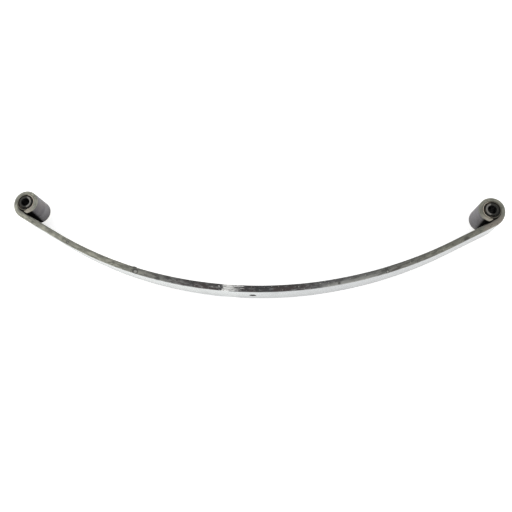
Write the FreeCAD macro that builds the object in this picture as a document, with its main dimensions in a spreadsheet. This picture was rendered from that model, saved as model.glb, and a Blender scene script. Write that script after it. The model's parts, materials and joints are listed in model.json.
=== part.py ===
"""Single-leaf spring: one steel leaf with an upturned eye at each end and a bonded bush in each eye.

The spring lies on its side, as on a bench. Row frame, in millimetres: X runs along the leaf, Y from
the convex seat face towards the eyes, and Z up, across the leaf and along the eye bolts. The origin
lies on the axis of the centre hole, at the seat face, half-way up the leaf's width.
"""
import FreeCAD, Part
import math
import os

import Sketcher

# Driving dimensions, in millimetres and degrees. Each cell of the sheet holds one of them.
DIMENSIONS = {
    "half_span": 460.0,            # middle of the span to an eye centre
    "span_shift": -10.0,           # the centre hole is this far from the middle of the span
    "eye_height": 172.6,           # seat face to the eye centres
    "convex_radius": 810.0,        # bow of the tension face
    "end_angle": 28.3,             # slope of the straight ends
    "mid_thickness": 13.1,
    "end_thickness": 11.4,
    "leaf_width": 63.5,
    "edge_round": 2.2,             # rolled round edges of the bar
    "eye_outer_radius": 24.5,
    "eye_bore_radius": 17.0,
    "scroll_outer_radius": 34.0,   # outside of the bend between a straight end and its eye
    "scroll_inner_radius": 22.0,   # inside of the same bend
    "tip_gap": 1.0,                # slit between the rolled tip and the leaf
    "tip_setback": 8.5,            # cut end of the roll, measured from the eye centre
    "centre_hole_radius": 6.5,
    "outer_sleeve_wall": 1.3,
    "outer_sleeve_length": 62.0,
    "rubber_length": 59.0,
    "inner_sleeve_radius": 12.0,
    "inner_sleeve_length": 66.5,
    "bolt_bore_radius": 8.25,
    "bore_chamfer": 0.9,
    "slip_clearance": 0.05,        # radial gap between pieces that turn against each other
}

doc = FreeCAD.newDocument("leaf_spring")


def make_sheet():
    """Put every driving dimension in a spreadsheet cell under its own alias."""
    sheet = doc.addObject("Spreadsheet::Sheet", "dims")
    for row, (alias, value) in enumerate(DIMENSIONS.items(), start=1):
        sheet.set(f"A{row}", alias)
        sheet.set(f"B{row}", str(value))
        sheet.setAlias(f"B{row}", alias)
    doc.recompute()


def origin_plane(body, role):
    """Return one of the body's own base planes."""
    return next(item for item in body.Origin.OriginFeatures if item.Role == role)


def new_body(label):
    """Start an empty body whose label names its node."""
    body = doc.addObject("PartDesign::Body", label)
    body.Label = label
    return body


def new_sketch(body, name, role):
    """Start a sketch on one of the body's base planes."""
    sketch = body.newObject("Sketcher::SketchObject", name)
    sketch.AttachmentSupport = [(origin_plane(body, role), "")]
    sketch.MapMode = "FlatFace"
    return sketch


def drive(sketch, constraint, name, formula):
    """Add a dimension to a sketch, name it, and bind it to the sheet."""
    index = sketch.addConstraint(constraint)
    sketch.renameConstraint(index, name)
    sketch.setExpression(f"Constraints.{name}", formula)


def new_pad(body, sketch, name, length_formula):
    """Extrude a sketch evenly to both sides of its plane."""
    pad = body.newObject("PartDesign::Pad", name)
    pad.Profile = sketch
    pad.SideType = "Symmetric"
    pad.setExpression("Length", length_formula)
    sketch.Visibility = False
    doc.recompute()
    return pad


def place(body, x_formula, y_formula="0"):
    """Bind where the body sits in the row frame."""
    body.setExpression("Placement.Base.x", x_formula)
    body.setExpression("Placement.Base.y", y_formula)


def leaf_points():
    """Work out the corners of half the leaf's side outline, with the middle of the span at x = 0."""
    d = DIMENSIONS
    slope = math.radians(d["end_angle"])
    along = FreeCAD.Vector(math.cos(slope), math.sin(slope), 0)
    inward = FreeCAD.Vector(-math.sin(slope), math.cos(slope), 0)
    eye = FreeCAD.Vector(d["half_span"], d["eye_height"], 0)
    bow_end = FreeCAD.Vector(0, d["convex_radius"], 0) - inward * d["convex_radius"]
    convex_drop = (eye - bow_end).dot(inward)
    concave_drop = convex_drop - d["end_thickness"]

    def scroll(radius, drop, eye_radius):
        """Centre, start and end of the arc that joins a straight face to a circle about the eye."""
        back = math.sqrt((radius - eye_radius) ** 2 - (radius - drop) ** 2)
        centre = eye - along * back + inward * (radius - drop)
        to_eye = (eye - centre).normalize()
        return centre, centre - inward * radius, centre + to_eye * radius

    outer_centre, outer_start, outer_end = scroll(
        d["scroll_outer_radius"], convex_drop, d["eye_outer_radius"])
    inner_centre, inner_start, inner_end = scroll(
        d["scroll_inner_radius"], concave_drop, d["eye_bore_radius"])
    tip_drop = concave_drop - d["tip_gap"]
    heel_reach = math.sqrt(d["eye_outer_radius"] ** 2 - tip_drop ** 2)
    bore_drop = math.sqrt(d["eye_bore_radius"] ** 2 - d["tip_setback"] ** 2)
    tip_back = eye - along * d["tip_setback"]
    # The concave bow passes through the top of the middle and meets the straight end squarely.
    mid_top = FreeCAD.Vector(0, d["mid_thickness"], 0)
    concave_radius = (mid_top - inner_start).dot(inward) / (1 - math.cos(slope))
    concave_centre = FreeCAD.Vector(0, d["mid_thickness"] + concave_radius, 0)
    concave_end = concave_centre - inward * concave_radius
    return {
        "eye": eye, "bow_end": bow_end,
        "outer_centre": outer_centre, "outer_start": outer_start, "outer_end": outer_end,
        "inner_centre": inner_centre, "inner_start": inner_start, "inner_end": inner_end,
        "heel": eye - along * heel_reach - inward * tip_drop,
        "tip": tip_back - inward * tip_drop,
        "tip_bore": tip_back - inward * bore_drop,
        "mid_top": mid_top, "concave_centre": concave_centre, "concave_end": concave_end,
    }


def arc(centre, start, end):
    """Counter-clockwise sketch arc from start to end."""
    from_angle = math.atan2(start.y - centre.y, start.x - centre.x)
    to_angle = math.atan2(end.y - centre.y, end.x - centre.x)
    if to_angle <= from_angle:
        to_angle += 2 * math.pi
    circle = Part.Circle(centre, FreeCAD.Vector(0, 0, 1), (start - centre).Length)
    return Part.ArcOfCircle(circle, from_angle, to_angle)


def draw_outline(sketch):
    """Draw half the leaf's side outline and constrain it fully."""
    at = leaf_points()
    middle = FreeCAD.Vector(0, 0, 0)
    bow_centre = FreeCAD.Vector(0, DIMENSIONS["convex_radius"], 0)
    pieces = [
        arc(bow_centre, middle, at["bow_end"]),
        Part.LineSegment(at["bow_end"], at["outer_start"]),
        arc(at["outer_centre"], at["outer_start"], at["outer_end"]),
        arc(at["eye"], at["outer_end"], at["heel"]),
        Part.LineSegment(at["heel"], at["tip"]),
        Part.LineSegment(at["tip"], at["tip_bore"]),
        arc(at["eye"], at["inner_end"], at["tip_bore"]),
        arc(at["inner_centre"], at["inner_start"], at["inner_end"]),
        Part.LineSegment(at["concave_end"], at["inner_start"]),
        arc(at["concave_centre"], at["mid_top"], at["concave_end"]),
        Part.LineSegment(at["mid_top"], middle),
    ]
    sketch.addGeometry(pieces, False)
    convex, outer_end, outer_scroll, roll, heel, cut_end, bore, inner_scroll, inner_end, concave, axis = range(11)
    origin_point, height_axis = (-1, 1), -2
    start, end, centre = 1, 2, 3
    joined = [
        ("Coincident", convex, start, *origin_point),
        ("PointOnObject", convex, centre, height_axis),
        ("Tangent", convex, end, outer_end, start),
        ("Tangent", outer_end, end, outer_scroll, start),
        ("Tangent", outer_scroll, end, roll, start),
        ("Coincident", roll, end, heel, start),
        ("Coincident", heel, end, cut_end, start),
        ("Coincident", cut_end, end, bore, end),
        ("Coincident", roll, centre, bore, centre),
        ("Tangent", bore, start, inner_scroll, end),
        ("Tangent", inner_scroll, start, inner_end, end),
        ("Tangent", inner_end, start, concave, end),
        ("PointOnObject", concave, centre, height_axis),
        ("PointOnObject", concave, start, height_axis),
        ("Coincident", concave, start, axis, start),
        ("Coincident", axis, end, convex, start),
        ("Parallel", inner_end, outer_end),
        ("Parallel", heel, inner_end),
        ("Perpendicular", cut_end, heel),
    ]
    sketch.addConstraint([Sketcher.Constraint(*item) for item in joined])
    d = DIMENSIONS
    for piece, name in (
        (convex, "convex_radius"),
        (outer_scroll, "scroll_outer_radius"),
        (roll, "eye_outer_radius"),
        (bore, "eye_bore_radius"),
        (inner_scroll, "scroll_inner_radius"),
    ):
        drive(sketch, Sketcher.Constraint("Radius", piece, d[name]), name, f"dims.{name}")
    measured = {
        "half_span": ("DistanceX", *origin_point, bore, centre, d["half_span"]),
        "eye_height": ("DistanceY", *origin_point, bore, centre, d["eye_height"]),
        "mid_thickness": ("DistanceY", convex, start, concave, start, d["mid_thickness"]),
        "end_thickness": ("Distance", inner_end, end, outer_end, d["end_thickness"]),
        "tip_gap": ("Distance", heel, start, inner_end, d["tip_gap"]),
        "tip_setback": ("Distance", bore, centre, cut_end, d["tip_setback"]),
        "end_angle": ("Angle", outer_end, math.radians(d["end_angle"])),
    }
    for name, values in measured.items():
        unit = " * 1 deg" if name == "end_angle" else ""
        drive(sketch, Sketcher.Constraint(*values), name, f"dims.{name}{unit}")


def long_edges(shape):
    """Names of the edges that run along the bar, without the corners of its two cut ends."""
    half_width = DIMENSIONS["leaf_width"] / 2
    shortest = 2 * DIMENSIONS["end_thickness"]
    names = []
    for number, edge in enumerate(shape.Edges, start=1):
        box = edge.BoundBox
        on_side = box.ZLength < 0.001 and abs(abs(box.ZMin) - half_width) < 0.001
        if on_side and edge.Length > shortest:
            names.append(f"Edge{number}")
    return names


def make_main_leaf():
    """The spring steel leaf with both eyes rolled up from the bar itself."""
    body = new_body("main_leaf")
    outline = new_sketch(body, "leaf_outline", "XY_Plane")
    draw_outline(outline)
    doc.recompute()
    half = new_pad(body, outline, "half_leaf", "dims.leaf_width")
    whole = body.newObject("PartDesign::Mirrored", "whole_leaf")
    whole.Originals = [half]
    whole.MirrorPlane = (origin_plane(body, "YZ_Plane"), [""])
    whole.Refine = True
    body.Tip = whole
    doc.recompute()
    rounded = body.newObject("PartDesign::Fillet", "round_edges")
    rounded.Base = (whole, long_edges(whole.Shape))
    rounded.setExpression("Radius", "dims.edge_round")
    doc.recompute()
    circle = new_sketch(body, "centre_hole_circle", "XZ_Plane")
    circle.addGeometry(Part.Circle(FreeCAD.Vector(10, 0, 0), FreeCAD.Vector(0, 0, 1), 6.5), False)
    drive(circle, Sketcher.Constraint("Radius", 0, 6.5), "radius", "dims.centre_hole_radius")
    drive(circle, Sketcher.Constraint("DistanceX", -1, 1, 0, 3, 10), "offset", "-dims.span_shift")
    circle.addConstraint(Sketcher.Constraint("PointOnObject", 0, 3, -1))
    doc.recompute()
    before = rounded.Shape.Volume
    hole = body.newObject("PartDesign::Pocket", "centre_hole")
    hole.Profile = circle
    hole.SideType = "Symmetric"
    hole.setExpression("Length", "4 * dims.mid_thickness")
    circle.Visibility = False
    doc.recompute()
    if hole.Shape.Volume > before - 1000:
        raise RuntimeError("the centre hole did not go through the leaf")
    place(body, "dims.span_shift")
    return body


def make_tube(label, side, outer_formula, inner_formula, length_formula):
    """A plain tube on one eye's axis. Side is -1 for the left eye and 1 for the right."""
    body = new_body(label)
    rings = new_sketch(body, f"{label}_rings", "XY_Plane")
    for index, (name, formula) in enumerate((("outer", outer_formula), ("inner", inner_formula))):
        guess = 20 - 5 * index
        rings.addGeometry(Part.Circle(FreeCAD.Vector(0, 0, 0), FreeCAD.Vector(0, 0, 1), guess), False)
        rings.addConstraint(Sketcher.Constraint("Coincident", index, 3, -1, 1))
        drive(rings, Sketcher.Constraint("Radius", index, guess), f"{name}_radius", formula)
    doc.recompute()
    new_pad(body, rings, f"{label}_tube", length_formula)
    place(body, f"{side} * dims.half_span + dims.span_shift", "dims.eye_height")
    return body


def chamfer_bore(body):
    """Break the two edges of a tube's bore."""
    tube = body.Tip
    radius = DIMENSIONS["bolt_bore_radius"]
    names = []
    for number, edge in enumerate(tube.Shape.Edges, start=1):
        if isinstance(edge.Curve, Part.Circle) and abs(edge.Curve.Radius - radius) < 0.001:
            names.append(f"Edge{number}")
    chamfer = body.newObject("PartDesign::Chamfer", f"{body.Label}_chamfer")
    chamfer.Base = (tube, names)
    chamfer.setExpression("Size", "dims.bore_chamfer")
    doc.recompute()


def make_bush(name, side, slip_formula):
    """The three bonded pieces of one eye's bush, from the outside in."""
    rubber_radius = "(dims.eye_bore_radius - dims.outer_sleeve_wall)"
    outer_sleeve = make_tube(
        f"{name}_outer_sleeve", side, f"dims.eye_bore_radius - {slip_formula}", rubber_radius,
        "dims.outer_sleeve_length")
    rubber = make_tube(
        f"{name}_rubber_bush", side, rubber_radius,
        "dims.inner_sleeve_radius + dims.slip_clearance", "dims.rubber_length")
    inner_sleeve = make_tube(
        f"{name}_inner_sleeve", side, "dims.inner_sleeve_radius", "dims.bolt_bore_radius",
        "dims.inner_sleeve_length")
    chamfer_bore(inner_sleeve)
    return [outer_sleeve, rubber, inner_sleeve]


def check_document():
    """Stop if any object of the document failed."""
    for item in doc.Objects:
        if "Invalid" in item.State or "Error" in item.State:
            raise RuntimeError(f"{item.Label} is {item.State}")


def export(bodies):
    """Write each sub-part to its own STEP file."""
    os.makedirs("parts", exist_ok=True)
    for body in bodies:
        if body.Shape.isNull() or not body.Shape.isValid() or not body.Shape.Solids:
            raise RuntimeError(f"{body.Label} has no good solid")
        body.Shape.exportStep(f"parts/{body.Label}.step")


make_sheet()
nodes = [make_main_leaf()]
nodes += make_bush("left", -1, "0")
nodes += make_bush("right", 1, "dims.slip_clearance")
doc.recompute()
check_document()
export(nodes)
for node in nodes:
    box = node.Shape.optimalBoundingBox()
    size = f"{box.XLength:.2f} x {box.YLength:.2f} x {box.ZLength:.2f}"
    print(f"{node.Label}: {size} mm, from z = {box.ZMin:.2f}, {node.Shape.Volume:.0f} mm3")
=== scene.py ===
"""Looks of a single-leaf spring on its side: one bowed steel leaf with a rubber bush in each rolled eye."""
import json
import math

import bmesh
import bpy
from mathutils import Matrix, Vector, noise


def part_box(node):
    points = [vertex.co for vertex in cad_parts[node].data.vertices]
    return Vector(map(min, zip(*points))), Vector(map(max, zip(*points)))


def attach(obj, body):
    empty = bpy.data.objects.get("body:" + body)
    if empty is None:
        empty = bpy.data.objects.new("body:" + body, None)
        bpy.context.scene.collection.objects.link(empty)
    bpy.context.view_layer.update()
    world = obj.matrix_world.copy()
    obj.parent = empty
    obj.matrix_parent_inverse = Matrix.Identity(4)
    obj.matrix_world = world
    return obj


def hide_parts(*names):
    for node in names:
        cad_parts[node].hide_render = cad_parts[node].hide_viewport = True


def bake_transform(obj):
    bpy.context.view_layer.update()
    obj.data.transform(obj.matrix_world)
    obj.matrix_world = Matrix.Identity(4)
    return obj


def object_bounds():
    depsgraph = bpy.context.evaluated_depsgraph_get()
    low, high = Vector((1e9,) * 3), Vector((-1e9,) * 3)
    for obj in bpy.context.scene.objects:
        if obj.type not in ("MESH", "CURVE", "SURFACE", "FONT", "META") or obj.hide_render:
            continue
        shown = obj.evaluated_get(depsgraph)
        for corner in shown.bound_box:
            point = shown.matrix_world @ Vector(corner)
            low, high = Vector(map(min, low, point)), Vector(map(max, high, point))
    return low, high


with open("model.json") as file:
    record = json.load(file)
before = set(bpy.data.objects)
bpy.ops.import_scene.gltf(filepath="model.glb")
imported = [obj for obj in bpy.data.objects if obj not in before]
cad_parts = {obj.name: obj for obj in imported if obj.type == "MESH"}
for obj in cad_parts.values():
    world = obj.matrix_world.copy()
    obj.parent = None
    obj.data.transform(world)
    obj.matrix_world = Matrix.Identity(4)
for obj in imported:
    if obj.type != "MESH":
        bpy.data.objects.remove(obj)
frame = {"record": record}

CAD_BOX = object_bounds()
MM = 0.001

# Driving sizes of the leaf's side outline.
CONVEX_RADIUS = 810 * MM
END_ANGLE = math.radians(28.3)
MID_THICKNESS = 13.1 * MM
END_THICKNESS = 11.4 * MM
SCROLL_OUTER = 34 * MM
SCROLL_INNER = 22 * MM
EYE_OUTER = 24.5 * MM
EYE_BORE = 17 * MM
TIP_GAP = 1 * MM
TIP_SETBACK = 8.5 * MM
HOLE_RADIUS = 6.5 * MM

# Sizes of the rounding that use and rolling leave on the leaf.
EDGE_ROUND = 2.4 * MM
SIDE_CROWN = 0.4 * MM
TIP_ROUND = 0.8 * MM
HOLE_CHAMFER = 0.6 * MM

# Sizes of the bushes.
SLEEVE_WALL = 1.3 * MM
SLIP_GAP = 0.05 * MM
INNER_SLEEVE = 12 * MM
RUBBER_BORE = INNER_SLEEVE + SLIP_GAP
BOLT_BORE = 8.25 * MM
BORE_CHAMFER = 0.9 * MM
RUBBER_DISH = 1.7 * MM
DISH_POWER = 0.7
RIM_ROUND = 0.45 * MM

# How far the bar's rolled surfaces wander, and how often: waves in a metre, along the bar and across it, and
# waves in the thickness of an edge. The surfaces take theirs from different slices of the same noise.
ROLLED_WAVE = 0.12 * MM
FACE_WAVES = (18, 30)
EDGE_WAVES = 25
THICKNESS_WAVES = 2
CONVEX_SLICE = 2.7
CONCAVE_SLICE = 9.1
EDGE_SLICE = 7.3

# The knocks in the bar's corners. Each has its place along the bar from mid-span, its depth from the convex
# face, the edge it is on (1 upper, -1 lower), its radius, how deep it cuts and how bare its middle is. The
# one with a negative cut is a burr, which stands out instead.
BRIGHT = 1.0
BLACKENED = 0.45
KNOCKS = (
    (-219 * MM, 4 * MM, 1, 8 * MM, 1.0 * MM, BRIGHT),
    (-223 * MM, MID_THICKNESS, 1, 6 * MM, -1.2 * MM, BLACKENED),
    (-173 * MM, 0, 1, 9 * MM, 1.2 * MM, BLACKENED),
    (-121 * MM, 0, 1, 6 * MM, 1.0 * MM, BLACKENED),
    (174 * MM, 3 * MM, 1, 4 * MM, 0.5 * MM, BLACKENED),
    (266 * MM, 2 * MM, 1, 5 * MM, 0.6 * MM, BRIGHT),
    (428 * MM, 1 * MM, 1, 9 * MM, 0.9 * MM, BLACKENED),
    (-372 * MM, 5 * MM, 1, 4 * MM, 0.5 * MM, BRIGHT),
    (-302 * MM, 0, -1, 6 * MM, 0.8 * MM, BRIGHT),
    (148 * MM, 0, -1, 5 * MM, 0.7 * MM, BLACKENED),
    (61 * MM, MID_THICKNESS, -1, 5 * MM, 0.8 * MM, BRIGHT),
)

# Places taken from the frame. The middle of the span is not at the centre hole: the arms differ.
MOUNTS = {mount["name"]: Vector(mount["pos_m"]) for mount in frame["record"]["mounts"]}
LEFT_EYE = MOUNTS["left_eye_bore"]
RIGHT_EYE = MOUNTS["right_eye_bore"]
HALF_SPAN = (RIGHT_EYE.x - LEFT_EYE.x) / 2
MID_SPAN = (RIGHT_EYE.x + LEFT_EYE.x) / 2
EYE_HEIGHT = RIGHT_EYE.y
LEAF_LOW, LEAF_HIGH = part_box("main_leaf")
HALF_WIDTH = (LEAF_HIGH[2] - LEAF_LOW[2]) / 2
FLOOR_LEVEL = CAD_BOX[0][2]

# How far the scratches on the broad faces turn from the bar's own line.
SCRATCH_ANGLE = math.radians(8)

# White paint wiped along the edges: where it starts along the bar from mid-span, and how far it goes.
DAUB_PLACE = -48 * MM
DAUB_LENGTH = 36 * MM

# How finely the meshes are divided.
BAR_STEP = 1.5 * MM
ROLL_STEP = math.radians(3)
FACE_PARTS = 12
CORNER_PARTS = 5
SIDE_PARTS = 6
RING_PARTS = 96
DISH_PARTS = 10
SHARP_ANGLE = math.radians(35)

# The camera of a person who looks down on the spring from its convex side.
CAMERA_PLACE = Vector((0.0861, -0.1960, 0.9968))
CAMERA_TARGET = Vector((0.0027, 0.0791, 0))
CAMERA_ROLL = math.radians(2.63)
CAMERA_LENS = 36.96

# The studio: a floor, and a light tent that is brightest at its foot and fades to an even wall above.
FLOOR_SIZE = 12.0
FLOOR_PARTS = 8
FLOOR_GAP = 0.05 * MM
FLOOR_GLOW = 0.58
FOOT_STRENGTH = 1.0
TENT_STRENGTH = 0.74
TENT_FADE = 0.45

# Two soft boxes. Each has its name, place, width, height and power in watts.
SOFT_BOXES = (
    ("low_key", (0.0, -1.7, 0.55), 2.6, 0.8, 7),
    ("left_fill", (-1.5, 1.1, 0.9), 1.6, 1.0, 7),
)


# ---------------------------------------------------------------- the leaf's outline

def unit(angle):
    """Unit vector at an angle in the plane of the side outline."""
    return Vector((math.cos(angle), math.sin(angle)))


class Outline:
    """Side outline of the leaf's right half, with the middle of the span at x = 0."""

    def __init__(self):
        self.along = unit(END_ANGLE)
        self.inward = unit(END_ANGLE + math.pi / 2)
        self.eye = Vector((HALF_SPAN, EYE_HEIGHT))
        self.bow_centre = Vector((0, CONVEX_RADIUS))
        # How far from the eye's centre the straight bar's outer and inner faces run.
        self.outer_drop = (self.eye - self.bow_centre).dot(self.inward) + CONVEX_RADIUS
        self.inner_drop = self.outer_drop - END_THICKNESS
        # The concave arc starts level at mid-span and ends along the straight bar's inner face.
        mid_top = Vector((0, MID_THICKNESS))
        flat = self.inner_roll(-math.pi / 2)
        self.inner_radius = (mid_top - flat).dot(self.inward) / (1 - math.cos(END_ANGLE))

    def roll_point(self, turn, drop, radius, eye_radius):
        """Point on the arc that leaves the straight bar, or on the eye's circle that the arc runs into."""
        back = math.sqrt((radius - eye_radius) ** 2 - (radius - drop) ** 2)
        joins = math.atan2(drop - radius, back)
        if turn > joins:
            return self.eye + unit(END_ANGLE + turn) * eye_radius
        centre = self.eye - self.along * back + self.inward * (radius - drop)
        return centre + unit(END_ANGLE + turn) * radius

    def inner_roll(self, turn):
        """Point on the inside of the roll. The turn is the normal's angle from the bar's own line."""
        return self.roll_point(turn, self.inner_drop, SCROLL_INNER, EYE_BORE)

    def outer_roll(self, turn):
        """Point on the outside of the roll, cut flat where its tip comes back to the bar."""
        tip_drop = self.inner_drop - TIP_GAP
        fall = -EYE_OUTER * math.sin(turn)
        if turn > math.pi and fall > tip_drop:
            return self.eye + unit(END_ANGLE + turn) * (EYE_OUTER * tip_drop / fall)
        return self.roll_point(turn, self.outer_drop, SCROLL_OUTER, EYE_OUTER)

    def bow(self):
        """Pairs of outer and inner points along the bow, square to its convex face."""
        count = round(CONVEX_RADIUS * END_ANGLE / BAR_STEP)
        # How far the concave arc's centre stands over the convex one's.
        rise = MID_THICKNESS + self.inner_radius - CONVEX_RADIUS
        pairs = []
        for index in range(count + 1):
            angle = END_ANGLE * index / count
            normal = unit(angle + math.pi / 2)
            reach = math.sqrt(self.inner_radius ** 2 - (rise * math.sin(angle)) ** 2)
            inner = self.bow_centre - normal * (reach - rise * math.cos(angle))
            pairs.append((self.bow_centre - normal * CONVEX_RADIUS, inner))
        return pairs

    def straight(self, first, last):
        """Pairs of points between two given pairs, without those two."""
        count = round((last[0] - first[0]).length / BAR_STEP)
        shares = [index / count for index in range(1, count)]
        return [tuple(a.lerp(b, share) for a, b in zip(first, last)) for share in shares]

    def roll(self):
        """Pairs of points round the roll, to its cut tip."""
        start = -math.pi / 2
        tip_drop = self.inner_drop - TIP_GAP
        outer_stop = math.pi + math.atan2(tip_drop, TIP_SETBACK)
        inner_stop = math.pi + math.acos(TIP_SETBACK / EYE_BORE)
        count = round((outer_stop - start) / ROLL_STEP)
        pairs = []
        for index in range(count + 1):
            share = index / count
            outer = self.outer_roll(start + (outer_stop - start) * share)
            inner = self.inner_roll(start + (inner_stop - start) * share)
            pairs.append((outer, inner))
        return pairs

    def half(self):
        """All pairs from mid-span to the tip of the right roll."""
        bow = self.bow()
        roll = self.roll()
        return bow + self.straight(bow[-1], roll[0]) + roll


def round_the_tip(pairs):
    """Replace the last pair by a few that close in, and say how far each section shrinks."""
    stations = [(outer, inner, 0.0) for outer, inner in pairs[:-1]]
    outer, inner = pairs[-1]
    heading = (pairs[-1][1] + pairs[-1][0] - pairs[-2][1] - pairs[-2][0]).normalized()
    for index in range(CORNER_PARTS + 1):
        angle = math.pi / 2 * index / CORNER_PARTS
        back = heading * (TIP_ROUND * (1 - math.sin(angle)))
        stations.append((outer - back, inner - back, TIP_ROUND * (1 - math.cos(angle))))
    return stations


def bar_section(thickness, inset):
    """Closed cross-section of the bar: depth from the convex face, and place across the width."""
    half = HALF_WIDTH - inset
    flat = half - SIDE_CROWN - EDGE_ROUND
    low, high = inset, thickness - inset
    edge = EDGE_ROUND - inset
    points = []
    for index in range(FACE_PARTS + 1):
        points.append((low, flat * (2 * index / FACE_PARTS - 1)))
    for index in range(1, CORNER_PARTS + 1):
        angle = math.pi / 2 * index / CORNER_PARTS
        points.append((low + edge * (1 - math.cos(angle)), flat + EDGE_ROUND * math.sin(angle)))
    for index in range(1, SIDE_PARTS):
        share = index / SIDE_PARTS
        crown = SIDE_CROWN * 4 * share * (1 - share)
        points.append((low + edge + (high - low - 2 * edge) * share, flat + EDGE_ROUND + crown))
    for index in range(CORNER_PARTS):
        angle = math.pi / 2 * (1 - index / CORNER_PARTS)
        points.append((high - edge * (1 - math.cos(angle)), flat + EDGE_ROUND * math.sin(angle)))
    return points + [(low + high - depth, -across) for depth, across in points]


# ---------------------------------------------------------------- meshes

def finish_mesh(bm, name):
    """Turn a bmesh into a smooth-shaded object with sharp corners."""
    bmesh.ops.recalc_face_normals(bm, faces=bm.faces)
    mesh = bpy.data.meshes.new(name)
    bm.to_mesh(mesh)
    bm.free()
    mesh.shade_smooth()
    mesh.set_sharp_from_angle(angle=SHARP_ANGLE)
    piece = bpy.data.objects.new(name, mesh)
    bpy.context.collection.objects.link(piece)
    return piece


def skin(bm, rings, closed):
    """Join neighbouring rings of vertices with quads, and the last ring to the first if closed."""
    followers = rings[1:] + rings[:1] if closed else rings[1:]
    for ring, follower in zip(rings, followers):
        for index in range(len(ring)):
            after = (index + 1) % len(ring)
            bm.faces.new((ring[index], ring[after], follower[after], follower[index]))


def uneven(along, share, across):
    """How far a hot-rolled bar's surface wanders: through its thickness, and across its width."""
    face_along, face_across = along * FACE_WAVES[0], across * FACE_WAVES[1]
    convex = noise.noise(Vector((face_along, face_across, CONVEX_SLICE)))
    concave = noise.noise(Vector((face_along, face_across, CONCAVE_SLICE)))
    edge_slice = math.copysign(EDGE_SLICE, across)
    edge = noise.noise(Vector((along * EDGE_WAVES, share * THICKNESS_WAVES, edge_slice)))
    return ROLLED_WAVE * ((1 - share) * convex + share * concave), ROLLED_WAVE * edge


def knocked(along, depth, across):
    """How deep a knock cuts at a point of the bar, and how bruised and bare it leaves the steel there."""
    for place, level, edge, radius, cut, bareness in KNOCKS:
        reach = Vector((along - place, depth - level, across - edge * HALF_WIDTH)).length / radius
        if reach < 1:
            nearness = (1 - reach ** 2) ** 2
            return cut * nearness, bareness * nearness
    return 0.0, 0.0


def leaf_stations():
    """Sections of the whole bar from tip to tip: length from mid-span, outer and inner point, inset."""
    right = []
    length = 0.0
    before = None
    for outer, inner, inset in round_the_tip(Outline().half()):
        middle = (outer + inner) / 2
        if before is not None:
            length += (middle - before).length
        before = middle
        right.append((length, outer, inner, inset))
    flip = Vector((-1, 1))
    left = [(-length, outer * flip, inner * flip, inset) for length, outer, inner, inset in right[:0:-1]]
    return left + right


def roll_lengths():
    """Length along the bar from mid-span to where a roll starts, and to its tip."""
    half = [station for station in leaf_stations() if station[0] >= 0]
    roll_count = len(Outline().roll()) + CORNER_PARTS
    return half[-roll_count][0], half[-1][0]


def make_leaf():
    """The steel leaf, with both eyes rolled up from the bar and a centre hole."""
    bm = bmesh.new()
    bar = bm.verts.layers.float_vector.new("bar")
    knock = bm.verts.layers.float.new("knock")
    rings = []
    for along, outer, inner, inset in leaf_stations():
        thickness = (inner - outer).length
        normal = (inner - outer) / thickness
        ring = []
        for depth, across in bar_section(thickness, inset):
            wander, spread = uneven(along, depth / thickness, across)
            cut, bruise = knocked(along, depth, across)
            inwards = 1 if depth < thickness / 2 else -1
            place = outer + normal * (depth + wander + inwards * cut)
            side = math.copysign(1, across)
            height = side * min(abs(across) + spread - cut, HALF_WIDTH)
            vertex = bm.verts.new((MID_SPAN + place.x, place.y, height))
            vertex[bar] = (along, depth, across)
            vertex[knock] = bruise
            ring.append(vertex)
        rings.append(ring)
    skin(bm, rings, closed=False)
    bm.faces.new(rings[0])
    bm.faces.new(rings[-1])
    leaf = finish_mesh(bm, "steel_leaf")
    drill(leaf)
    return leaf


def make_drill():
    """A cutter for the centre hole that also breaks its two edges."""
    bm = bmesh.new()
    reach = 4 * HOLE_CHAMFER
    heights = (
        (-reach, HOLE_RADIUS + reach + HOLE_CHAMFER),
        (HOLE_CHAMFER, HOLE_RADIUS),
        (MID_THICKNESS - HOLE_CHAMFER, HOLE_RADIUS),
        (MID_THICKNESS + reach, HOLE_RADIUS + reach + HOLE_CHAMFER),
    )
    rings = []
    for height, radius in heights:
        ring = []
        for index in range(RING_PARTS):
            spot = unit(2 * math.pi * index / RING_PARTS) * radius
            ring.append(bm.verts.new((spot.x, height, spot.y)))
        rings.append(ring)
    skin(bm, rings, closed=False)
    bm.faces.new(rings[0])
    bm.faces.new(rings[-1])
    return finish_mesh(bm, "drill")


def drill(leaf):
    """Cut the centre hole, and give its wall the bar's own coordinates."""
    cutter = make_drill()
    cut = leaf.modifiers.new("hole", "BOOLEAN")
    cut.object = cutter
    cut.operation = "DIFFERENCE"
    cut.solver = "EXACT"
    graph = bpy.context.evaluated_depsgraph_get()
    drilled = bpy.data.meshes.new_from_object(leaf.evaluated_get(graph))
    leaf.modifiers.clear()
    whole = leaf.data
    leaf.data = drilled
    bpy.data.meshes.remove(whole)
    bpy.data.meshes.remove(cutter.data)
    drilled.name = "steel_leaf"
    bar = drilled.attributes["bar"].data
    for vertex in drilled.vertices:
        if math.hypot(vertex.co.x, vertex.co.z) < 2 * HOLE_RADIUS:
            bar[vertex.index].vector = (vertex.co.x - MID_SPAN, vertex.co.y, vertex.co.z)
    drilled.set_sharp_from_angle(angle=SHARP_ANGLE)


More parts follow.
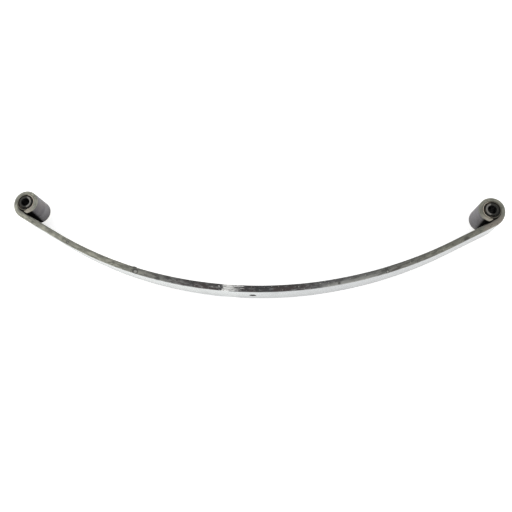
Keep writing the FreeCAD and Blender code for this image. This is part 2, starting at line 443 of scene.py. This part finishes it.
def make_ring(name, eye, top):
    """A ring turned about an eye's axis from the outline of its upper end, with a matching lower end."""
    bm = bmesh.new()
    turned = bm.verts.layers.float_vector.new("turned")
    outline = top + [(radius, -height) for radius, height in reversed(top)]
    rings = []
    for index in range(RING_PARTS):
        spoke = unit(2 * math.pi * index / RING_PARTS)
        ring = []
        for radius, height in outline:
            vertex = bm.verts.new((eye.x + spoke.x * radius, eye.y + spoke.y * radius, height))
            vertex[turned] = (radius, index / RING_PARTS, height)
            ring.append(vertex)
        rings.append(ring)
    skin(bm, rings, closed=True)
    return finish_mesh(bm, name)


def rim(radius, height, size, side):
    """A ring end's rounded corner, from inside to outside: side is 1 at the outer wall, -1 at the bore."""
    points = []
    for index in range(CORNER_PARTS + 1):
        angle = math.pi / 2 * index / CORNER_PARTS
        if side < 0:
            angle = math.pi / 2 - angle
        across = radius + side * size * (math.sin(angle) - 1)
        points.append((across, height + size * (math.cos(angle) - 1)))
    return points


def half_length(node):
    """Half the length of a bush piece, as the frame has it."""
    low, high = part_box(node)
    return (high[2] - low[2]) / 2


def make_outer_sleeve(side, eye, gap):
    """The thin shell pressed into the eye, with rolled ends."""
    height = half_length(f"{side}_outer_sleeve")
    outer = EYE_BORE - gap
    inner = EYE_BORE - SLEEVE_WALL
    top = rim(inner, height, RIM_ROUND, -1) + rim(outer, height, RIM_ROUND, 1)
    return make_ring(f"{side}_bush_shell", eye, top)


def make_rubber(side, eye):
    """The rubber, whose two ends are dished between the sleeves."""
    height = half_length(f"{side}_rubber_bush")
    outer = EYE_BORE - SLEEVE_WALL
    top = []
    for index in range(DISH_PARTS + 1):
        share = index / DISH_PARTS
        dip = RUBBER_DISH * (4 * share * (1 - share)) ** DISH_POWER
        top.append((RUBBER_BORE + (outer - RUBBER_BORE) * share, height - dip))
    return make_ring(f"{side}_bush_rubber", eye, top)


def make_inner_sleeve(side, eye):
    """The thick tube that the eye bolt clamps."""
    height = half_length(f"{side}_inner_sleeve")
    top = [(BOLT_BORE, height - BORE_CHAMFER), (BOLT_BORE + BORE_CHAMFER, height)]
    top += rim(INNER_SLEEVE, height, RIM_ROUND, 1)
    return make_ring(f"{side}_bolt_sleeve", eye, top)


# ---------------------------------------------------------------- materials

# A Mix node has sockets for numbers and vectors too, under the same names. These are its colour ones.
MIX_FIRST = 6
MIX_SECOND = 7
MIX_RESULT = 2


class Graph:
    """Short forms for one material's nodes. A value may be a number, a colour or another node's output."""

    def __init__(self, name):
        self.material = bpy.data.materials.new(name)
        self.material.use_nodes = True
        self.nodes = self.material.node_tree.nodes
        self.links = self.material.node_tree.links
        self.shader = self.nodes["Principled BSDF"]

    def feed(self, socket, value):
        """Set a socket, or link another output to it."""
        if isinstance(value, bpy.types.NodeSocket):
            self.links.new(value, socket)
        else:
            socket.default_value = value

    def finish(self, **values):
        """Feed the shader's sockets, named with underscores for spaces, and give the material."""
        for name, value in values.items():
            self.feed(self.shader.inputs[name.replace("_", " ")], value)
        return self.material

    def attribute(self, name, kind):
        """A mesh attribute, as a Vector or as one number, called Fac."""
        node = self.nodes.new("ShaderNodeAttribute")
        node.attribute_name = name
        return node.outputs[kind]

    def place(self):
        """The place on the object, in metres."""
        return self.nodes.new("ShaderNodeTexCoord").outputs["Object"]

    def split(self, vector):
        """The three numbers of a vector."""
        node = self.nodes.new("ShaderNodeSeparateXYZ")
        self.feed(node.inputs[0], vector)
        return node.outputs[0], node.outputs[1], node.outputs[2]

    def join(self, first, second):
        """A vector of two numbers."""
        node = self.nodes.new("ShaderNodeCombineXYZ")
        self.feed(node.inputs[0], first)
        self.feed(node.inputs[1], second)
        return node.outputs[0]

    def math(self, operation, *values):
        """A Math node's result."""
        node = self.nodes.new("ShaderNodeMath")
        node.operation = operation
        for socket, value in zip(node.inputs, values):
            self.feed(socket, value)
        return node.outputs[0]

    def stretch(self, vector, scale):
        """A vector with each of its axes scaled."""
        node = self.nodes.new("ShaderNodeVectorMath")
        node.operation = "MULTIPLY"
        self.feed(node.inputs[0], vector)
        node.inputs[1].default_value = scale
        return node.outputs[0]

    def noise(self, vector, scale, detail=3.0, roughness=0.55):
        """Noise from 0 to 1, mostly near a half. The scale has the waves in a metre along each axis."""
        node = self.nodes.new("ShaderNodeTexNoise")
        self.feed(node.inputs["Vector"], self.stretch(vector, scale))
        node.inputs["Scale"].default_value = 1.0
        node.inputs["Detail"].default_value = detail
        node.inputs["Roughness"].default_value = roughness
        return node.outputs[0]

    def ramp(self, value, low, high, at_low=0.0, at_high=1.0):
        """A smooth step between two values of the input."""
        node = self.nodes.new("ShaderNodeMapRange")
        node.interpolation_type = "SMOOTHSTEP"
        for socket, number in zip(node.inputs, (value, low, high, at_low, at_high)):
            self.feed(socket, number)
        return node.outputs[0]

    def mix(self, share, first, second):
        """Mix two colours."""
        node = self.nodes.new("ShaderNodeMix")
        node.data_type = "RGBA"
        self.feed(node.inputs[0], share)
        self.feed(node.inputs[MIX_FIRST], first)
        self.feed(node.inputs[MIX_SECOND], second)
        return node.outputs[MIX_RESULT]

    def upward(self):
        """How squarely a surface faces up or down, from 0 to 1."""
        source = self.nodes.new("ShaderNodeNewGeometry")
        return self.math("ABSOLUTE", self.split(source.outputs["Normal"])[2])

    def bump(self, height, strength, distance, under=None):
        """A bumped normal, over another one if given."""
        node = self.nodes.new("ShaderNodeBump")
        node.inputs["Strength"].default_value = strength
        node.inputs["Distance"].default_value = distance
        self.feed(node.inputs["Height"], height)
        if under is not None:
            self.feed(node.inputs["Normal"], under)
        return node.outputs[0]


# Colours of the spring steel.
BROWN_BLACK = (0.062, 0.050, 0.050, 1)
BLUE_BLACK = (0.044, 0.046, 0.050, 1)
BARED_GREY = (0.200, 0.200, 0.200, 1)
LIGHT_KHAKI = (0.480, 0.475, 0.390, 1)
KHAKI = (0.240, 0.242, 0.205, 1)
DARK_KHAKI = (0.185, 0.188, 0.155, 1)
DULL_KHAKI = (0.140, 0.140, 0.115, 1)
RUST_TINT = (0.330, 0.285, 0.245, 1)
CREAM = (0.480, 0.435, 0.360, 1)
RUBBED_GREY = (0.400, 0.400, 0.370, 1)
LINE_BLACK = (0.050, 0.050, 0.046, 1)
CORNER_BLACK = (0.035, 0.036, 0.034, 1)
PALE_FRECKLE = (0.60, 0.60, 0.54, 1)
DARK_FRECKLE = (0.040, 0.036, 0.030, 1)
WHITE_PAINT = (0.80, 0.80, 0.78, 1)
SILVER = (0.58, 0.60, 0.595, 1)
GREY_SILVER = (0.46, 0.48, 0.475, 1)
STAINED_SILVER = (0.27, 0.28, 0.285, 1)
DULL_SILVER = (0.34, 0.345, 0.36, 1)
SILVER_IN_REFLECTED_SHADE = (0.30, 0.31, 0.31, 1)
KEPT_SCALE = (0.175, 0.178, 0.187, 1)
BRIGHT_SCRATCH = (0.75, 0.76, 0.76, 1)
RUST_FRECKLE = (0.20, 0.13, 0.085, 1)
DARK_SCALE = (0.098, 0.092, 0.099, 1)
LIGHT_SCALE = (0.150, 0.144, 0.151, 1)
RUBBED_SCALE = (0.212, 0.207, 0.212, 1)
BROWN_SCALE = (0.135, 0.108, 0.088, 1)
SCALE_SCRATCH = (0.36, 0.35, 0.36, 1)
SCALE_FRECKLE = (0.075, 0.058, 0.045, 1)
BRUISE = (0.045, 0.044, 0.040, 1)
BARE_DENT = (0.42, 0.42, 0.39, 1)
# Near black painted shade for the gap under each roll's tip.
GAP_SHADE_BLACK = (0.004, 0.0035, 0.003, 1)


class Steel(Graph):
    """Used spring steel: bright on the broad faces, scaled and dull on the edges and round the rolls."""

    def __init__(self, roll_start, roll_end):
        super().__init__("worn_spring_steel")
        self.roll_start = roll_start
        self.roll_end = roll_end
        self.bar = self.attribute("bar", "Vector")
        self.along, self.depth, self.across = self.split(self.bar)
        self.distance = self.math("ABSOLUTE", self.along)
        # The spring lies on its side, so the bar's edges are what faces up and down.
        self.edge = self.ramp(self.upward(), 0.1, 0.35)
        self.rolled = self.ramp(self.distance, roll_start - 8 * MM, roll_start + 22 * MM)
        self.blotches = self.noise(self.bar, (45, 110, 60), 4.0)
        self.patches = self.noise(self.bar, (30, 40, 20), 3.0)
        self.lines = self.noise(self.bar, (25, 1300, 700), 3.0, 0.6)
        self.freckles = self.noise(self.bar, (260, 300, 300), 4.0, 0.6)
        self.grain = self.noise(self.bar, (700, 700, 700), 3.0)
        self.dragged = self.noise(self.bar, (13, 60, 75), 6.0, 0.62)
        self.scratches = self.noise(self.skewed(self.bar), (12, 10, 950), 1.0)

    def skewed(self, vector):
        """A vector turned a little about its second axis, for scratches that run at an angle."""
        node = self.nodes.new("ShaderNodeVectorRotate")
        node.rotation_type = "AXIS_ANGLE"
        node.inputs["Axis"].default_value = (0.0, 1.0, 0.0)
        node.inputs["Angle"].default_value = SCRATCH_ANGLE
        self.feed(node.inputs["Vector"], vector)
        return node.outputs[0]

    def both(self, first, second):
        """Where two masks overlap."""
        return self.math("MULTIPLY", first, second)

    def edge_paint(self):
        """Nearly black at mid-span, khaki along the arms, rusty by the right roll and paler at both tips."""
        flecks = self.noise(self.bar, (75, 260, 120), 5.0, 0.65)
        black = self.mix(self.ramp(self.patches, 0.4, 0.6), BLUE_BLACK, BROWN_BLACK)
        wear = self.math("ADD", flecks, self.ramp(self.distance, 50 * MM, 160 * MM, -0.05, 0.09))
        centre = self.mix(self.ramp(wear, 0.46, 0.64), black, BARED_GREY)
        khaki = self.mix(self.ramp(flecks, 0.36, 0.60), DARK_KHAKI, LIGHT_KHAKI)
        khaki = self.mix(self.ramp(self.blotches, 0.42, 0.60, 0.0, 0.55), khaki, KHAKI)
        khaki = self.mix(self.ramp(self.along, -150 * MM, 300 * MM, 0.0, 0.50), khaki, DULL_KHAKI)
        shifted = self.math("SUBTRACT", self.distance, self.math("MULTIPLY", self.along, 0.2))
        colour = self.mix(self.ramp(shifted, 120 * MM, 360 * MM), centre, khaki)
        rust_starts = self.ramp(self.along, self.roll_start - 32 * MM, self.roll_start - 22 * MM, 0.0, 0.65)
        rust_ends = self.ramp(self.along, self.roll_start + 22 * MM, self.roll_start + 8 * MM)
        colour = self.mix(self.both(rust_starts, rust_ends), colour, RUST_TINT)
        # Paler at both tips: rub wear, and partly a painted highlight on each roll's tip.
        pale = self.ramp(self.distance, self.roll_end - 26 * MM, self.roll_end - 10 * MM, 0.0, 0.7)
        return self.mix(pale, colour, CREAM)

    def edge_wear(self, colour):
        """Lines, freckles and wiped paint over the edges.

        Their concave corner is darker, and the convex one is rubbed half-way along the right arm.
        """
        colour = self.mix(self.ramp(self.lines, 0.40, 0.68, 0.0, 0.35), colour, LINE_BLACK)
        half_way = self.both(
            self.ramp(self.along, 120 * MM, 170 * MM),
            self.ramp(self.along, 270 * MM, 220 * MM))
        rubbed = self.both(half_way, self.ramp(self.depth, 9 * MM, 3 * MM, 0.0, 0.55))
        colour = self.mix(rubbed, colour, RUBBED_GREY)
        colour = self.mix(self.ramp(self.depth, 4 * MM, 12 * MM, 0.0, 0.5), colour, CORNER_BLACK)
        colour = self.mix(self.ramp(self.freckles, 0.64, 0.70, 0.0, 0.8), colour, PALE_FRECKLE)
        colour = self.mix(self.ramp(self.freckles, 0.38, 0.32, 0.0, 0.7), colour, DARK_FRECKLE)
        return self.mix(self.daub(), colour, WHITE_PAINT)

    def daub(self):
        """Where a nearly dry brush has wiped paint along the edges: 1 on the paint, in ragged streaks."""
        place = self.join(self.along, self.depth)
        ragged = self.noise(place, (160, 700, 1), 3.0)
        share = self.math("DIVIDE", self.math("SUBTRACT", self.along, DAUB_PLACE), DAUB_LENGTH)
        share = self.math("ADD", share, self.ramp(ragged, 0.2, 0.8, -0.3, 0.3))
        begins = self.ramp(share, 0.0, 0.15)
        wiped = self.noise(place, (35, 850, 1), 2.0)
        thin = self.math("ADD", wiped, self.math("MULTIPLY", share, 0.28))
        return self.both(begins, self.ramp(thin, 0.74, 0.64))

    def silver(self):
        """The broad faces, with fine lines from rolling, thin scratches and a little rust.

        They are duller on the right arm, darker towards the lower edge as a painted reflection of the floor
        in the bar's shadow, and the concave one keeps its scale.
        """
        brushed = self.noise(self.bar, (30, 1500, 1500), 3.0)
        colour = self.mix(self.ramp(brushed, 0.35, 0.65), GREY_SILVER, SILVER)
        colour = self.mix(self.ramp(self.patches, 0.5, 0.75, 0.0, 0.45), colour, STAINED_SILVER)
        right_arm = self.ramp(self.along, -100 * MM, 200 * MM, 0.0, 0.55)
        before_bend = self.ramp(self.along, self.roll_start, self.roll_start - 25 * MM)
        colour = self.mix(self.both(right_arm, before_bend), colour, DULL_SILVER)
        # Painted reflection: darker towards the lower edge, for the shadowed floor that the broad face
        # mirrors there.
        colour = self.mix(self.ramp(self.across, -20 * MM, 14 * MM, 0.40, 0.0), colour, SILVER_IN_REFLECTED_SHADE)
        concave = self.ramp(self.depth, 6 * MM, 7 * MM)
        kept = self.both(concave, self.ramp(self.dragged, 0.36, 0.66, 0.0, 0.85))
        colour = self.mix(kept, colour, KEPT_SCALE)
        colour = self.mix(self.ramp(self.scratches, 0.70, 0.74, 0.0, 0.6), colour, BRIGHT_SCRATCH)
        return self.mix(self.ramp(self.freckles, 0.64, 0.74, 0.0, 0.5), colour, RUST_FRECKLE)

    def scale(self):
        """Dark scale left round the rolls by the fire, rubbed, scratched and freckled with rust."""
        colour = self.mix(self.ramp(self.blotches, 0.3, 0.7), DARK_SCALE, LIGHT_SCALE)
        colour = self.mix(self.ramp(self.dragged, 0.50, 0.70, 0.0, 0.7), colour, RUBBED_SCALE)
        colour = self.mix(self.ramp(self.patches, 0.50, 0.66, 0.0, 0.35), colour, BROWN_SCALE)
        colour = self.mix(self.ramp(self.scratches, 0.68, 0.72, 0.0, 0.5), colour, SCALE_SCRATCH)
        return self.mix(self.ramp(self.freckles, 0.62, 0.72, 0.0, 0.6), colour, SCALE_FRECKLE)

    def knocks(self, colour):
        """A bruised rim round a bright dent at each knock."""
        knock = self.attribute("knock", "Fac")
        colour = self.mix(self.ramp(knock, 0.02, 0.35, 0.0, 0.75), colour, BRUISE)
        return self.mix(self.ramp(knock, 0.5, 0.9, 0.0, 0.8), colour, BARE_DENT)

    def gap_shade(self):
        """Where the gap between the roll's tip and the bar gets painted shade, coloured near black. It
        starts earlier at the upper edge.
        """
        reach = self.math("ADD", self.distance, self.math("MULTIPLY", self.across, 0.05))
        under_roll = self.both(
            self.ramp(reach, self.roll_end - 17 * MM, self.roll_end - 12 * MM),
            self.ramp(self.depth, 1.0 * MM, 0.1 * MM))
        beside_tip = self.both(
            self.ramp(self.distance, self.roll_start - 40 * MM, self.roll_start - 12 * MM),
            self.ramp(self.distance, self.roll_start - 3 * MM, self.roll_start - 12 * MM))
        over_bar = self.both(beside_tip, self.ramp(self.depth, 9.5 * MM, 10.8 * MM))
        return self.math("MAXIMUM", under_roll, over_bar)

    def shine(self, gap_shade):
        """How metallic the steel is: least on the painted edges and round the rolls."""
        faces = self.ramp(self.edge, 0.0, 1.0, 0.92, 0.45)
        shine = self.both(faces, self.ramp(self.rolled, 0.0, 1.0, 1.0, 0.4))
        # Fully metallic in the painted gap shade, so that its near black colour reflects nothing.
        return self.math("MAXIMUM", shine, gap_shade)

    def roughness(self, gap_shade):
        """How rough the steel is: smoothest on the broad faces, and matt in the painted gap shade."""
        edge = self.ramp(self.edge, 0.0, 1.0, 0.27, 0.44)
        rough = self.math("MAXIMUM", edge, self.ramp(self.rolled, 0.0, 1.0, 0.2, 0.5))
        rough = self.math("ADD", rough, self.ramp(self.grain, 0.3, 0.7, -0.05, 0.07))
        return self.math("MAXIMUM", rough, self.ramp(gap_shade, 0.0, 1.0, 0.0, 0.9))

    def relief(self):
        """The steel's fine relief: pits, drawn lines, rust spots and grain."""
        normal = self.bump(self.blotches, 0.35, 0.4 * MM)
        normal = self.bump(self.lines, 0.3, 0.1 * MM, normal)
        normal = self.bump(self.freckles, 0.35, 0.12 * MM, normal)
        return self.bump(self.grain, 0.25, 0.08 * MM, normal)


def steel_material(roll_start, roll_end):
    """The leaf's steel, with its edges, broad faces and rolls."""
    g = Steel(roll_start, roll_end)
    broad = g.mix(g.rolled, g.silver(), g.scale())
    colour = g.mix(g.edge, broad, g.edge_wear(g.edge_paint()))
    gap_shade = g.gap_shade()
    # Painted shade: near black in the gap between each roll's tip and the bar.
    colour = g.mix(gap_shade, g.knocks(colour), GAP_SHADE_BLACK)
    return g.finish(
        Base_Color=colour,
        Metallic=g.shine(gap_shade),
        Roughness=g.roughness(gap_shade),
        Normal=g.relief())


# Colours of the bushes and the paper.
SHELL_CREAM = (0.66, 0.60, 0.50, 1)
SHELL_BROWN = (0.16, 0.15, 0.12, 1)
SHELL_BORE = (0.02, 0.02, 0.02, 1)
TUBE_GREY = (0.24, 0.232, 0.215, 1)
TUBE_BLACK = (0.036, 0.035, 0.031, 1)
TUBE_BORE = (0.010, 0.010, 0.010, 1)
RUBBER_BLACK = (0.0121, 0.012, 0.0108, 1)
BROWN_DUST = (0.085, 0.066, 0.045, 1)
GREY_PAPER = (0.93, 0.93, 0.93, 1)
WHITE_PAPER = (0.95, 0.95, 0.95, 1)
WHITE = (1.0, 1.0, 1.0, 1.0)


def sleeve_material(name, light, dark, bore_colour):
    """Turned steel tube: machining rings on its ends, stains, a painted highlight on the side towards
    mid-span, and a nearly black bore.
    """
    g = Graph(name)
    turned = g.attribute("turned", "Vector")
    radius = g.split(turned)[0]
    place = g.place()
    stains = g.noise(place, (95, 95, 95), 5.0, 0.65)
    rings = g.noise(g.stretch(turned, (1, 0, 0)), (5000, 1, 1), 1.0)
    grain = g.noise(place, (1500, 1500, 1500), 2.0)
    distance = g.math("ABSOLUTE", g.math("SUBTRACT", g.split(place)[0], MID_SPAN))
    # Painted highlight: each ring is lighter on its side towards mid-span and darker on the far side, over
    # random stains.
    towards_middle = g.ramp(distance, HALF_SPAN + 6 * MM, HALF_SPAN - 9 * MM, -0.34, 0.16)
    stains_and_highlight = g.ramp(g.math("ADD", stains, towards_middle), 0.42, 0.60)
    colour = g.mix(stains_and_highlight, dark, light)
    colour = g.mix(g.ramp(rings, 0.4, 0.7, 0.0, 0.3), colour, dark)
    # Nearly black on the bolt bore's wall.
    inside = g.ramp(radius, BOLT_BORE + 0.2 * MM, BOLT_BORE + 0.6 * MM, 1.0, 0.0)
    colour = g.mix(inside, colour, bore_colour)
    shine = g.ramp(inside, 0.0, 1.0, 0.8, 0.3)
    rough = g.math("ADD", g.ramp(inside, 0.0, 1.0, 0.36, 0.5), g.ramp(grain, 0.3, 0.7, -0.06, 0.06))
    normal = g.bump(rings, 0.3, 0.05 * MM)
    return g.finish(Base_Color=colour, Metallic=shine, Roughness=rough, Normal=normal)


def rubber_material():
    """Old black rubber with brown dust in its dished ends."""
    g = Graph("bush_rubber")
    place = g.place()
    dust = g.noise(place, (130, 130, 130), 5.0, 0.65)
    grain = g.noise(place, (1800, 1800, 1800), 2.0)
    colour = g.mix(g.ramp(dust, 0.48, 0.64), RUBBER_BLACK, BROWN_DUST)
    rough = g.ramp(grain, 0.3, 0.7, 0.55, 0.75)
    normal = g.bump(grain, 0.35, 0.06 * MM)
    return g.finish(Base_Color=colour, Roughness=rough, Normal=normal)


def paper_material():
    """White paper under the spring, with a faint tooth."""
    g = Graph("white_paper")
    place = g.place()
    tooth = g.noise(place, (60, 60, 60), 3.0)
    colour = g.mix(g.ramp(tooth, 0.3, 0.7), GREY_PAPER, WHITE_PAPER)
    return g.finish(Base_Color=colour, Roughness=0.9, Emission_Color=WHITE, Emission_Strength=FLOOR_GLOW)


# ---------------------------------------------------------------- the studio

def make_floor():
    """A wide pale sheet that the spring lies on."""
    bm = bmesh.new()
    bmesh.ops.create_grid(bm, x_segments=FLOOR_PARTS, y_segments=FLOOR_PARTS, size=FLOOR_SIZE / 2)
    floor = finish_mesh(bm, "floor")
    floor.location.z = FLOOR_LEVEL - FLOOR_GAP
    floor.data.materials.append(paper_material())


def make_light(name, place, width, height, power):
    """A soft box that faces the middle of the spring."""
    lamp = bpy.data.lights.new(name, "AREA")
    lamp.shape = "RECTANGLE"
    lamp.size = width
    lamp.size_y = height
    lamp.energy = power
    light = bpy.data.objects.new(name, lamp)
    light.location = place
    light.rotation_euler = (CAMERA_TARGET - Vector(place)).to_track_quat("-Z", "Y").to_euler()
    bpy.context.collection.objects.link(light)


def make_world():
    """White light from everywhere, as in a light tent, strongest where the tent's walls meet the floor."""
    world = bpy.data.worlds.new("light_tent")
    world.use_nodes = True
    nodes = world.node_tree.nodes
    links = world.node_tree.links
    tent = nodes["Background"]
    split = nodes.new("ShaderNodeSeparateXYZ")
    fade = nodes.new("ShaderNodeMapRange")
    fade.interpolation_type = "SMOOTHSTEP"
    for socket, number in zip(fade.inputs[1:5], (0.0, TENT_FADE, FOOT_STRENGTH, TENT_STRENGTH)):
        socket.default_value = number
    links.new(nodes.new("ShaderNodeTexCoord").outputs["Generated"], split.inputs[0])
    links.new(split.outputs[2], fade.inputs[0])
    links.new(fade.outputs[0], tent.inputs["Strength"])
    tent.inputs["Color"].default_value = WHITE
    bpy.context.scene.world = world
    bpy.context.scene.view_settings.view_transform = "Standard"


def make_camera():
    """Look down on the spring from its convex side, with the slight roll of a camera held in the hand."""
    camera = bpy.data.objects.new("camera", bpy.data.cameras.new("camera"))
    camera.data.lens = CAMERA_LENS
    camera.data.clip_start = 0.01
    back = (CAMERA_PLACE - CAMERA_TARGET).normalized()
    right = Vector((0, 1, 0)).cross(back).normalized()
    level = Matrix((right, back.cross(right), back)).transposed()
    turned = level @ Matrix.Rotation(CAMERA_ROLL, 3, "Z")
    camera.matrix_world = Matrix.Translation(CAMERA_PLACE) @ turned.to_4x4()
    bpy.context.collection.objects.link(camera)
    bpy.context.scene.camera = camera


def give(piece, material, node):
    """Dress a piece and hide the CAD node that it stands for."""
    piece.data.materials.clear()
    piece.data.materials.append(material)
    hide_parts(node)


def build_bush(side, eye, eye_body, sleeve_body, gap, shell, tube, rubber):
    """One eye's bush."""
    outer = make_outer_sleeve(side, eye, gap)
    give(outer, shell, f"{side}_outer_sleeve")
    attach(outer, eye_body)
    middle = make_rubber(side, eye)
    give(middle, rubber, f"{side}_rubber_bush")
    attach(middle, eye_body)
    inner = make_inner_sleeve(side, eye)
    give(inner, tube, f"{side}_inner_sleeve")
    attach(inner, sleeve_body)


def build_spring():
    """The leaf and the two bushes."""
    leaf = make_leaf()
    roll_start, roll_end = roll_lengths()
    give(leaf, steel_material(roll_start, roll_end), "main_leaf")
    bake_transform(leaf)
    shell = sleeve_material("sleeve_shell", SHELL_CREAM, SHELL_BROWN, SHELL_BORE)
    tube = sleeve_material("bolt_tube", TUBE_GREY, TUBE_BLACK, TUBE_BORE)
    rubber = rubber_material()
    build_bush("left", LEFT_EYE, "leaf", "left_sleeve", 0.0, shell, tube, rubber)
    build_bush("right", RIGHT_EYE, "right_eye", "right_sleeve", SLIP_GAP, shell, tube, rubber)


build_spring()
make_floor()
make_world()
for soft_box in SOFT_BOXES:
    make_light(*soft_box)
make_camera()
